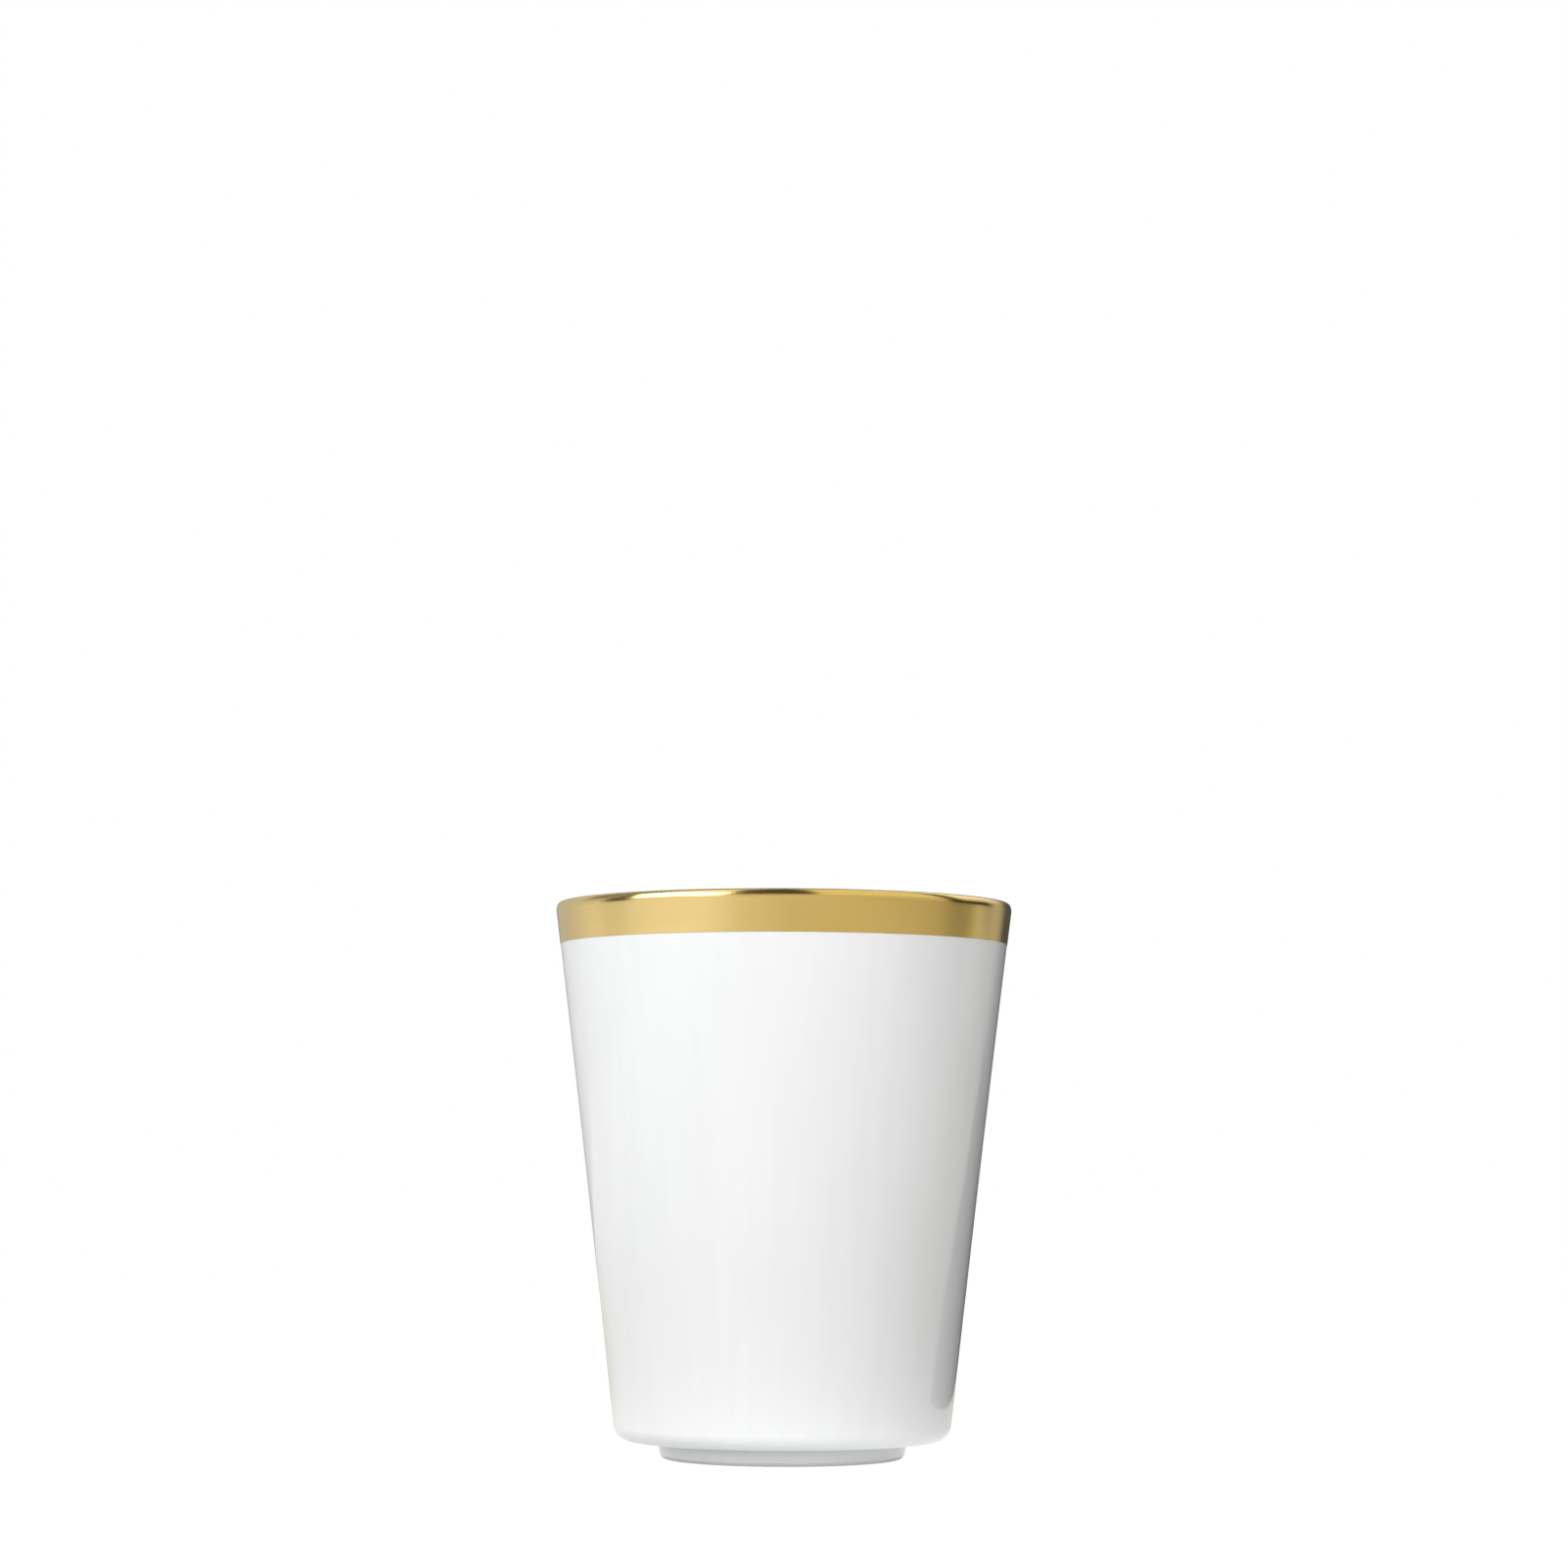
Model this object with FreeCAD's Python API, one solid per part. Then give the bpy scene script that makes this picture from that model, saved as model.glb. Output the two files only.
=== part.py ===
import FreeCAD
import Part
import math
import os

# A tapered porcelain vase with a gilded rim, standing on a recessed foot ring.
#
# The vase is a body of revolution. Its whole outline is drawn once, as rounds that are joined
# by straight or gently flared sides, and a coat of glaze or gold is that outline grown by the
# coat's thickness. Lines through the middle of the porcelain then divide it into its pieces.
#
# Millimetres, +Z up, origin in the middle of the face that the vase stands on.

# Overall sizes of the glazed vase
HEIGHT = 150.0             # from the foot's face to the top of the gilded lip
RIM_DIAMETER = 125.0       # outside, where the wall's line would reach the vase's height
BASE_DIAMETER = 90.6       # outside, at the corner where the wall's line meets the base
WALL_FLARE = 0.3           # how far the wall's outline bows in from a straight cone

# Porcelain body
WALL_THICKNESS = 2.0       # bare
LIP_SHOULDER_RADIUS = 2.75 # bare, from each side of the wall up to the lip's crown
LIP_CROWN_RADIUS = 0.6     # bare, over the top of the lip
FLOOR_THICKNESS = 4.2      # bare
HEEL_RADIUS = 4.6          # outside turn from wall to base, over the glaze
WELL_RADIUS = 8.0          # inside turn from wall to floor, under the glaze

# Foot ring, and the low seat under the body that it is joined to
FOOT_HEIGHT = 4.8          # from the foot's face to the glazed base
FOOT_INSET = 11.6          # from the base's corner in to the ring's bare outer root
FOOT_WIDTH = 5.6           # bare, across the root
FOOT_DRAFT = 12.0          # degrees that each side leans in towards the face
FOOT_EDGE_RADIUS = 1.3     # beside the face
SEAT_HEIGHT = 0.8          # the seat's height below the base, rounded into it by a full cove

# Coats
GLAZE_THICKNESS = 0.25
GLAZE_LINE = 0.9           # the glaze stops this far above the foot's face
GOLD_THICKNESS = 0.1
GOLD_BAND_HEIGHT = 11.2    # outside, down from the top of the lip
GOLD_LINE_DEPTH = 3.2      # the lip's own line, down both sides from the top of the lip

# Levels and radii that follow from the sizes
BASE_LEVEL = FOOT_HEIGHT + GLAZE_THICKNESS
SEAT_LEVEL = BASE_LEVEL - SEAT_HEIGHT
FLOOR_LEVEL = BASE_LEVEL + FLOOR_THICKNESS
CORE_LEVEL = (BASE_LEVEL + FLOOR_LEVEL) / 2
ROOT_RADIUS = BASE_DIAMETER / 2 - FOOT_INSET
RECESS_RADIUS = ROOT_RADIUS - FOOT_WIDTH
DRAFT = math.radians(FOOT_DRAFT)


def point(radius, level):
    """A point of the turned section, which lies in the XZ plane."""
    return FreeCAD.Vector(radius, 0, level)


ORIGIN = point(0, 0)
UP = point(0, 1)
DOWN = point(0, -1)
FOOT_OUT = point(math.cos(DRAFT), -math.sin(DRAFT))
FOOT_IN = point(-math.cos(DRAFT), -math.sin(DRAFT))


# The wall is flared: its outline is a wide arc whose centre is far outside the vase

def flare():
    """Centre and radius of the arc that the glazed outside of the wall follows."""
    low = point(BASE_DIAMETER / 2, FOOT_HEIGHT)
    high = point(RIM_DIAMETER / 2, HEIGHT)
    chord = high - low
    radius = chord.Length ** 2 / (8 * WALL_FLARE) + WALL_FLARE / 2
    outward = point(chord.z, -chord.x).normalize()
    return (low + high) / 2 + outward * (radius - WALL_FLARE), radius


FLARE_CENTRE, FLARE_RADIUS = flare()


def in_wall(depth, level):
    """The point at a level that lies at a depth, square to the glazed outside of the wall."""
    drop = level - FLARE_CENTRE.z
    return point(FLARE_CENTRE.x - math.sqrt((FLARE_RADIUS + depth) ** 2 - drop ** 2), level)


def wall_normal(place):
    return (FLARE_CENTRE - place).normalize()


# The lip is oval. A shoulder on each side of the wall turns in to a small round crown

def lip_rise():
    """How far along the wall the crown's centre is above the centres of the shoulders."""
    spread = LIP_SHOULDER_RADIUS - WALL_THICKNESS / 2
    return math.sqrt((LIP_SHOULDER_RADIUS - LIP_CROWN_RADIUS) ** 2 - spread ** 2)


LIP_LEAN = wall_normal(in_wall(0, HEIGHT))
CROWN_LEVEL = HEIGHT - GOLD_THICKNESS - GLAZE_THICKNESS - LIP_CROWN_RADIUS
LIP_LEVEL = CROWN_LEVEL - lip_rise() * LIP_LEAN.x
CORE_DEPTH = GLAZE_THICKNESS + WALL_THICKNESS / 2


def lip_centres():
    """Centres of the outer shoulder, the crown and the inner shoulder."""
    middle = in_wall(CORE_DEPTH, LIP_LEVEL)
    spread = LIP_LEAN * (LIP_SHOULDER_RADIUS - WALL_THICKNESS / 2)
    along = point(-LIP_LEAN.z, LIP_LEAN.x)
    return middle - spread, middle + along * lip_rise(), middle + spread


# The foot ring's two sides lean towards each other

def foot_outside(level, clear):
    """A point at a level, at a distance clear of the ring's bare outer side."""
    lean = math.tan(DRAFT) * (BASE_LEVEL - level)
    return point(ROOT_RADIUS - lean + clear / math.cos(DRAFT), level)


def foot_inside(level, clear):
    lean = math.tan(DRAFT) * (BASE_LEVEL - level)
    return point(RECESS_RADIUS + lean - clear / math.cos(DRAFT), level)


def rounds():
    """The rounds of the bare vase, from under the middle of its base to its inside floor.

    Each is its centre, its radius, and the outward normals where it starts and ends. The
    radius of a hollow round is negative, so a coat's thickness is added to every radius.
    """
    edge = FOOT_EDGE_RADIUS
    heel = in_wall(HEEL_RADIUS, FOOT_HEIGHT + HEEL_RADIUS)
    outer, crown, inner = lip_centres()
    crown_start = (crown - outer).normalize()
    crown_end = (crown - inner).normalize()
    well = in_wall(GLAZE_THICKNESS + WALL_THICKNESS + WELL_RADIUS, FLOOR_LEVEL + WELL_RADIUS)
    return {
        "recess cove": (foot_inside(SEAT_LEVEL, SEAT_HEIGHT), -SEAT_HEIGHT, DOWN, FOOT_IN),
        "inner edge": (foot_inside(edge, -edge), edge, FOOT_IN, DOWN),
        "outer edge": (foot_outside(edge, -edge), edge, DOWN, FOOT_OUT),
        "outer cove": (foot_outside(SEAT_LEVEL, SEAT_HEIGHT), -SEAT_HEIGHT, FOOT_OUT, DOWN),
        "heel": (heel, HEEL_RADIUS - GLAZE_THICKNESS, DOWN, wall_normal(heel)),
        "outer shoulder": (outer, LIP_SHOULDER_RADIUS, LIP_LEAN, crown_start),
        "crown": (crown, LIP_CROWN_RADIUS, crown_start, crown_end),
        "inner shoulder": (inner, LIP_SHOULDER_RADIUS, crown_end, -LIP_LEAN),
        "well": (well, -WELL_RADIUS, -wall_normal(well), UP),
    }


# Edges of the section

def straight(start, end):
    return Part.LineSegment(start, end).toShape()


def round_edge(centre, radius, start_normal, end_normal):
    middle_normal = (start_normal + end_normal).normalize()
    return Part.Arc(centre + start_normal * radius, centre + middle_normal * radius,
                    centre + end_normal * radius).toShape()


def flared(start, end, depth):
    """A side of the wall, at a depth in from its glazed outside."""
    return Part.Arc(start, in_wall(depth, (start.z + end.z) / 2), end).toShape()


def first(edge):
    return edge.firstVertex(True).Point


def last(edge):
    return edge.lastVertex(True).Point


def outline(coat):
    """The whole vase as one section, grown by a coat on every side."""
    arcs = {name: round_edge(centre, radius + coat, start, end)
            for name, (centre, radius, start, end) in rounds().items()}
    base_middle = point(0, BASE_LEVEL - coat)
    floor_middle = point(0, FLOOR_LEVEL + coat)
    outside_depth = GLAZE_THICKNESS - coat
    inside_depth = GLAZE_THICKNESS + WALL_THICKNESS + coat
    edges = list(arcs.values()) + [
        straight(base_middle, first(arcs["recess cove"])),
        straight(last(arcs["recess cove"]), first(arcs["inner edge"])),
        straight(last(arcs["inner edge"]), first(arcs["outer edge"])),
        straight(last(arcs["outer edge"]), first(arcs["outer cove"])),
        straight(last(arcs["outer cove"]), first(arcs["heel"])),
        flared(last(arcs["heel"]), first(arcs["outer shoulder"]), outside_depth),
        flared(last(arcs["inner shoulder"]), first(arcs["well"]), inside_depth),
        straight(last(arcs["well"]), floor_middle),
        straight(floor_middle, base_middle),
    ]
    return Part.Face(Part.Wire(Part.__sortEdges__(edges)))


# Regions that divide the section. They end beyond the vase or in the middle of its porcelain

BEYOND = HEIGHT + RIM_DIAMETER


def region(*corners):
    return Part.Face(Part.makePolygon([*corners, corners[0]]))


def slab(low, high):
    """Everything between two levels."""
    return region(point(0, low), point(BEYOND, low), point(BEYOND, high), point(0, high))


def inside_region():
    """From the middle of the floor and the wall in to the axis, and up through the mouth."""
    crown = lip_centres()[1]
    return region(point(0, CORE_LEVEL), in_wall(CORE_DEPTH, CORE_LEVEL), crown,
                  point(crown.x, BEYOND), point(0, BEYOND))


def recess_region():
    """From the middle of the foot ring in to the axis, above the glaze line."""
    middle = (RECESS_RADIUS + ROOT_RADIUS) / 2
    return region(point(0, GLAZE_LINE), point(middle, GLAZE_LINE),
                  point(middle, CORE_LEVEL), point(0, CORE_LEVEL))


# The pieces, as sections

def porcelain():
    """The fired body with its seat, and the foot ring that is joined under it with slip."""
    bare = outline(0)
    return {
        "porcelain_body": bare.common(slab(SEAT_LEVEL, BEYOND)),
        "foot_ring": bare.common(slab(-BEYOND, SEAT_LEVEL)),
    }


def glazes():
    """The clear coats: over the outside, in the recess, and poured over the inside."""
    coat = outline(GLAZE_THICKNESS).cut(outline(0)).common(slab(GLAZE_LINE, BEYOND))
    inside = inside_region()
    recess = recess_region()
    return {
        "outer_glaze": coat.cut(inside).cut(recess),
        "recess_glaze": coat.common(recess),
        "inner_glaze": coat.common(inside),
    }


def gilding():
    """The gold on the glaze: a line over the lip, and the broad band under it outside."""
    film = outline(GLAZE_THICKNESS + GOLD_THICKNESS).cut(outline(GLAZE_THICKNESS))
    line_level = HEIGHT - GOLD_LINE_DEPTH
    band = slab(HEIGHT - GOLD_BAND_HEIGHT, line_level).cut(inside_region())
    return {
        "gold_band": film.common(band),
        "gold_lip": film.common(slab(line_level, BEYOND)),
    }


def turned(section):
    """The solid that a section of one face sweeps in a full turn about the axis."""
    face, = section.Faces
    solid = face.revolve(ORIGIN, UP, 360)
    if solid.Volume < 0:
        solid.reverse()
    return solid


os.makedirs("parts", exist_ok=True)
for pieces in (porcelain(), glazes(), gilding()):
    for name, section in pieces.items():
        solid = turned(section)
        solid.exportStep("parts/" + name + ".step")
        box = solid.BoundBox
        print(f"{name}: {solid.Volume:.0f} mm3, {box.XLength:.2f} mm across, "
              f"{box.ZMin:.2f} to {box.ZMax:.2f} mm up, valid {solid.isValid()}")
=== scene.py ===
# %% [markdown]
# # A porcelain vase with a gilded rim
#
# This lesson builds a small tapered vase: a white body on a foot ring, clear glaze inside and
# out, and fired gold over the lip. All of it is turned ware, so each piece starts as half of
# a section, drawn point by point, which is then spun once round the vase's own axis. The
# frame holds the plain solids at their real size, and every new piece takes its place from it.

# %% Load the frame
import math

import bpy
from mathutils import Euler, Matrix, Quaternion, Vector


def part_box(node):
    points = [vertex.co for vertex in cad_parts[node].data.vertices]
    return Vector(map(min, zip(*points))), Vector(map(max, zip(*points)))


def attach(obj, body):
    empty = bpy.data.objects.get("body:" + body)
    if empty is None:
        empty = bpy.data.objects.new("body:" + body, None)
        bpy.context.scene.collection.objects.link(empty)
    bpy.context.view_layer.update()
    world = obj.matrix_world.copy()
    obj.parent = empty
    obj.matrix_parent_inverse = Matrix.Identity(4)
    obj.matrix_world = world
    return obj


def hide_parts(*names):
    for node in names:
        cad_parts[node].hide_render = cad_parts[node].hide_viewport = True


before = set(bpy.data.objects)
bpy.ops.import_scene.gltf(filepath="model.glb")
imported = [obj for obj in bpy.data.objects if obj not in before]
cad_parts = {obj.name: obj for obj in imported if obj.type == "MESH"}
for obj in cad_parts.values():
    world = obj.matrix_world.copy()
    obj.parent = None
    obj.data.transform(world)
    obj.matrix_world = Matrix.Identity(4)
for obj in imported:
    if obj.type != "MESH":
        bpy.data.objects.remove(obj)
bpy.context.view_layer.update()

print("nodes:", ", ".join(sorted(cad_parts)))

# %% [markdown]
# ## Sizes
#
# Levels can be read from the boxes of the frame's nodes, because each coat of glaze or gold
# begins and ends at a level that matters. Roundings don't show in a box, so they are named
# here. Blender's unit is the metre, and MM keeps the numbers easy to read.

# %% Read the levels and name the roundings
MM = 0.001


def bottom(node):
    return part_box(node)[0].z


def top(node):
    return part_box(node)[1].z


HEIGHT = top("gold_lip")
GOLD = HEIGHT - top("outer_glaze")
GLAZE = top("outer_glaze") - top("porcelain_body")
GOLD_LINE_LEVEL = top("gold_band")
GOLD_BAND_LEVEL = bottom("gold_band")
FLOOR_LEVEL = bottom("inner_glaze")
BASE_LEVEL = top("recess_glaze")
SEAT_LEVEL = top("foot_ring")
SEAT_HEIGHT = BASE_LEVEL - SEAT_LEVEL

RIM_RADIUS = 62.5 * MM        # glazed, where the wall's line would reach the full height
BASE_RADIUS = 45.3 * MM       # glazed, at the corner of wall and base
WALL_FLARE = 0.3 * MM         # how far the wall bows in from a straight cone
WALL_THICKNESS = 2.0 * MM
SHOULDER_RADIUS = 2.75 * MM   # from each side of the wall up to the lip's crown
CROWN_RADIUS = 0.6 * MM       # over the top of the lip
HEEL_RADIUS = 4.6 * MM
WELL_RADIUS = 8.0 * MM
FOOT_WIDTH = 5.6 * MM
FOOT_INSET = 11.6 * MM
FOOT_DRAFT = math.radians(12)
FOOT_EDGE_RADIUS = 1.3 * MM

FOOT_RADIUS = BASE_RADIUS - FOOT_INSET
RECESS_RADIUS = FOOT_RADIUS - FOOT_WIDTH
for name, size in (("height", HEIGHT), ("glaze", GLAZE), ("gold", GOLD), ("floor", FLOOR_LEVEL)):
    print(f"{name}: {size / MM:.2f} mm")

# %% [markdown]
# ## The outline
#
# A potter's profile is a chain of rounds with nearly straight stretches between them. If each
# round is kept as a centre, a radius and the directions that its surface faces at its ends,
# then a coat of any thickness is the same chain with every radius a little larger. A hollow
# round gets a negative radius, and the same sum makes it smaller.
#
# The wall isn't quite straight. It follows a very wide arc whose centre lies outside the
# vase, which gives the sides their slight trumpet line.

# %% The wall's wide arc
UP = Vector((0, 0, 1))
DOWN = -UP
FOOT_OUT = Vector((math.cos(FOOT_DRAFT), 0, -math.sin(FOOT_DRAFT)))
FOOT_IN = Vector((-math.cos(FOOT_DRAFT), 0, -math.sin(FOOT_DRAFT)))


def spot(radius, level):
    """A point of the half section, which is drawn in the XZ plane."""
    return Vector((radius, 0, level))


wall_foot = spot(BASE_RADIUS, BASE_LEVEL - GLAZE)
wall_head = spot(RIM_RADIUS, HEIGHT)
chord = wall_head - wall_foot
FLARE_RADIUS = chord.length_squared / (8 * WALL_FLARE) + WALL_FLARE / 2
outward = Vector((chord.z, 0, -chord.x)).normalized()
FLARE_CENTRE = (wall_foot + wall_head) / 2 + outward * (FLARE_RADIUS - WALL_FLARE)
print(f"the wall's arc has a radius of {FLARE_RADIUS:.2f} m")


def in_wall(depth, level):
    """The point at a level that lies at a depth in from the glazed outside of the wall."""
    reach = math.sqrt((FLARE_RADIUS + depth) ** 2 - (level - FLARE_CENTRE.z) ** 2)
    return spot(FLARE_CENTRE.x - reach, level)


def wall_normal(place):
    return (FLARE_CENTRE - place).normalized()


# %% The lip's three centres
lean = wall_normal(in_wall(0, HEIGHT))
along = Vector((-lean.z, 0, lean.x))
spread = SHOULDER_RADIUS - WALL_THICKNESS / 2
rise = math.sqrt((SHOULDER_RADIUS - CROWN_RADIUS) ** 2 - spread ** 2)
LIP_LEVEL = HEIGHT - GOLD - GLAZE - CROWN_RADIUS - rise * along.z
wall_middle = in_wall(GLAZE + WALL_THICKNESS / 2, LIP_LEVEL)
OUTER_SHOULDER = wall_middle - lean * spread
INNER_SHOULDER = wall_middle + lean * spread
CROWN = wall_middle + along * rise
print(f"the lip starts to turn {(HEIGHT - LIP_LEVEL) / MM:.2f} mm below its top")


# %% The rounds
def foot_side(radius, lean_sign, level, clear):
    """A point at a level, a distance clear of one of the foot ring's leaning sides."""
    lean = math.tan(FOOT_DRAFT) * (BASE_LEVEL - level)
    return spot(radius - lean_sign * (lean - clear / math.cos(FOOT_DRAFT)), level)


def make_rounds():
    """Each round's centre, radius, and the directions it faces where it starts and ends."""
    edge = FOOT_EDGE_RADIUS
    heel = in_wall(HEEL_RADIUS, BASE_LEVEL - GLAZE + HEEL_RADIUS)
    crown_start = (CROWN - OUTER_SHOULDER).normalized()
    crown_end = (CROWN - INNER_SHOULDER).normalized()
    well = in_wall(GLAZE + WALL_THICKNESS + WELL_RADIUS, FLOOR_LEVEL + WELL_RADIUS)
    inner_cove = foot_side(RECESS_RADIUS, -1, SEAT_LEVEL, SEAT_HEIGHT)
    outer_cove = foot_side(FOOT_RADIUS, 1, SEAT_LEVEL, SEAT_HEIGHT)
    inner_edge = foot_side(RECESS_RADIUS, -1, edge, -edge)
    outer_edge = foot_side(FOOT_RADIUS, 1, edge, -edge)
    return {
        "inner_cove": (inner_cove, -SEAT_HEIGHT, DOWN, FOOT_IN),
        "inner_edge": (inner_edge, edge, FOOT_IN, DOWN),
        "outer_edge": (outer_edge, edge, DOWN, FOOT_OUT),
        "outer_cove": (outer_cove, -SEAT_HEIGHT, FOOT_OUT, DOWN),
        "heel": (heel, HEEL_RADIUS - GLAZE, DOWN, wall_normal(heel)),
        "outer_shoulder": (OUTER_SHOULDER, SHOULDER_RADIUS, lean, crown_start),
        "crown": (CROWN, CROWN_RADIUS, crown_start, crown_end),
        "inner_shoulder": (INNER_SHOULDER, SHOULDER_RADIUS, crown_end, -lean),
        "well": (well, -WELL_RADIUS, -wall_normal(well), UP),
    }


ROUNDS = make_rounds()
print("rounds:", ", ".join(ROUNDS))

# %% [markdown]
# ## Drawing a section in edit mode
#
# By hand, one would add a plane, merge it to a single point, and then press E to extrude that
# point along the straight stretches, and use Spin to swing it round the centre of each
# rounding. These helpers do just that. Spin gives exact arcs, where beveling a corner would
# only come close, and gold shows the difference at once.

# %% Start, extrude and swing
ARC_STEP = math.radians(5)
WALL_STEPS = 14
TURN_STEPS = 256
SHORTEST_STEP = 0.001 * MM
MERGE_REACH = 0.002 * MM
SHARP_ANGLE = math.radians(35)


def deselect_all():
    if bpy.context.mode != "OBJECT":
        bpy.ops.object.mode_set(mode="OBJECT")
    bpy.ops.object.select_all(action="DESELECT")


def start_section(name, start):
    """A plane merged to one point, which stays selected in edit mode."""
    deselect_all()
    bpy.ops.mesh.primitive_plane_add(size=MM, location=start)
    section = bpy.context.object
    section.name = section.data.name = name
    bpy.ops.object.transform_apply(location=True, rotation=True, scale=True)
    bpy.ops.object.mode_set(mode="EDIT")
    bpy.ops.mesh.select_all(action="SELECT")
    bpy.ops.mesh.merge(type="CENTER")
    return start


def line_to(here, there):
    """Extrude the selected point straight to another place."""
    if (there - here).length > SHORTEST_STEP:
        bpy.ops.mesh.extrude_region_move(TRANSFORM_OT_translate={"value": there - here})
    return there


def wall_to(here, there, depth):
    """Extrude the point along the wall's wide arc, at a depth in from its glazed outside."""
    for step in range(1, WALL_STEPS):
        level = here.z + (there.z - here.z) / (WALL_STEPS - step + 1)
        here = line_to(here, in_wall(depth, level))
    return line_to(here, there)


def facing(direction):
    return math.atan2(direction.z, direction.x)


def edge_of(name, coat, direction):
    """The place on a round, grown by a coat, where it faces a direction."""
    centre, radius = ROUNDS[name][:2]
    return centre + direction * (radius + coat)


def begin_of(name, coat):
    return edge_of(name, coat, ROUNDS[name][2])


def end_of(name, coat):
    return edge_of(name, coat, ROUNDS[name][3])


def swing(here, name, coat, start=None, end=None):
    """Go straight to a round, then swing the point about its centre with Spin."""
    centre, radius, whole_start, whole_end = ROUNDS[name]
    start, end = start or whole_start, end or whole_end
    line_to(here, edge_of(name, coat, start))
    turn = (facing(end) - facing(start)) % math.tau
    if radius < 0:
        turn -= math.tau
    steps = math.ceil(abs(turn) / ARC_STEP - 0.01)
    bpy.ops.mesh.spin(steps=steps, angle=turn, center=centre, axis=(0, 1, 0))
    return edge_of(name, coat, end)


# %% [markdown]
# ## Turning the section
#
# One more Spin, right round the vertical axis, turns the drawn line into the piece. The first
# and last copies of the line fall on each other, as do the copies of a point on the axis, so
# doubles are merged, which closes the seam and the pole. The faces are then made to point
# outwards. A coat is only a skin at this stage. Solidify gives it its thickness, inwards, so
# that its inner face lies on what it covers.

# %% Spin, merge, and thicken
def outermost_face(piece):
    """The outermost of the faces about halfway up the piece, to see which way it points."""
    levels = [v.co.z for v in piece.data.vertices]
    middle = (min(levels) + max(levels)) / 2
    nearest = min(abs(face.center.z - middle) for face in piece.data.polygons)
    halfway = [face for face in piece.data.polygons
               if abs(face.center.z - middle) < nearest + 0.5 * MM]
    return max(halfway, key=lambda face: face.center.xy.length)


def turn_section(hollow=False):
    """Spin the drawn line into a skin whose faces point away from the porcelain."""
    bpy.ops.mesh.select_all(action="SELECT")
    bpy.ops.mesh.spin(steps=TURN_STEPS, angle=math.tau, center=(0, 0, 0), axis=(0, 0, 1))
    bpy.ops.mesh.select_all(action="SELECT")
    bpy.ops.mesh.remove_doubles(threshold=MERGE_REACH)
    bpy.ops.mesh.normals_make_consistent(inside=False)
    bpy.ops.object.mode_set(mode="OBJECT")
    piece = bpy.context.object
    face = outermost_face(piece)
    points_out = face.normal.x * face.center.x + face.normal.y * face.center.y > 0
    if points_out == hollow:
        bpy.ops.object.mode_set(mode="EDIT")
        bpy.ops.mesh.select_all(action="SELECT")
        bpy.ops.mesh.flip_normals()
        bpy.ops.object.mode_set(mode="OBJECT")
    return piece


def thicken(piece, thickness):
    """Give a skin its thickness, away from the side that its faces point to."""
    solidify = piece.modifiers.new("thickness", "SOLIDIFY")
    solidify.thickness = thickness
    solidify.offset = -1
    solidify.use_even_offset = True
    bpy.ops.object.modifier_apply(modifier=solidify.name)


def finish_piece(piece, node):
    """Smooth the piece, put it in the frame in its node's place, and say how it came out."""
    bpy.ops.object.shade_smooth_by_angle(angle=SHARP_ANGLE)
    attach(piece, "root")
    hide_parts(node)
    sides = {}
    for face in piece.data.polygons:
        for key in face.edge_keys:
            sides[key] = sides.get(key, 0) + 1
    loose = sum(count != 2 for count in sides.values())
    print(f"{piece.name}: {len(piece.data.polygons)} faces, {loose} open edges")


# %% [markdown]
# ## The porcelain
#
# The body is cast or thrown in one, with a thick floor, a rounded heel and a full round lip.
# Under it is a low seat, and the foot ring is joined to that with slip before firing. Nearly
# all of this will be covered by glaze, but a whole body makes the piece honest from any side,
# and the ring's bare face is what the vase stands on.

# %% Turn the body
here = start_section("porcelain_body_turned", spot(0, BASE_LEVEL))
here = swing(here, "inner_cove", 0)
here = line_to(here, edge_of("outer_cove", 0, FOOT_OUT))
here = swing(here, "outer_cove", 0)
here = swing(here, "heel", 0)
here = wall_to(here, begin_of("outer_shoulder", 0), GLAZE)
here = swing(here, "outer_shoulder", 0)
here = swing(here, "crown", 0)
here = swing(here, "inner_shoulder", 0)
here = wall_to(here, begin_of("well", 0), GLAZE + WALL_THICKNESS)
here = swing(here, "well", 0)
here = line_to(here, spot(0, FLOOR_LEVEL))
body = turn_section()
finish_piece(body, "porcelain_body")

# %% Turn the foot ring
here = start_section("foot_ring_turned", end_of("inner_cove", 0))
here = swing(here, "inner_edge", 0)
here = swing(here, "outer_edge", 0)
here = line_to(here, begin_of("outer_cove", 0))
here = line_to(here, end_of("inner_cove", 0))
foot = turn_section()
finish_piece(foot, "foot_ring")

# %% [markdown]
# ## The glaze
#
# A dipped glaze is a quarter of a millimetre thick. It softens every corner, and it stops
# just above the face of the foot, where it was wiped away so that the vase wouldn't stick
# to the kiln shelf. Three coats are drawn on the grown outline: the outside up to the crown
# of the lip, the inside from the crown down, and the recess under the base.

# %% Turn the three coats of glaze
here = start_section("outer_glaze_coat", end_of("outer_edge", GLAZE))
here = swing(here, "outer_cove", GLAZE)
here = swing(here, "heel", GLAZE)
here = wall_to(here, begin_of("outer_shoulder", GLAZE), 0)
here = swing(here, "outer_shoulder", GLAZE)
here = swing(here, "crown", GLAZE, end=UP)
outer_glaze = turn_section()
thicken(outer_glaze, GLAZE)
finish_piece(outer_glaze, "outer_glaze")

here = start_section("inner_glaze_coat", edge_of("crown", GLAZE, UP))
here = swing(here, "crown", GLAZE, start=UP)
here = swing(here, "inner_shoulder", GLAZE)
here = wall_to(here, begin_of("well", GLAZE), GLAZE + WALL_THICKNESS + GLAZE)
here = swing(here, "well", GLAZE)
here = line_to(here, spot(0, FLOOR_LEVEL + GLAZE))
inner_glaze = turn_section(hollow=True)
thicken(inner_glaze, GLAZE)
finish_piece(inner_glaze, "inner_glaze")

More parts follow.
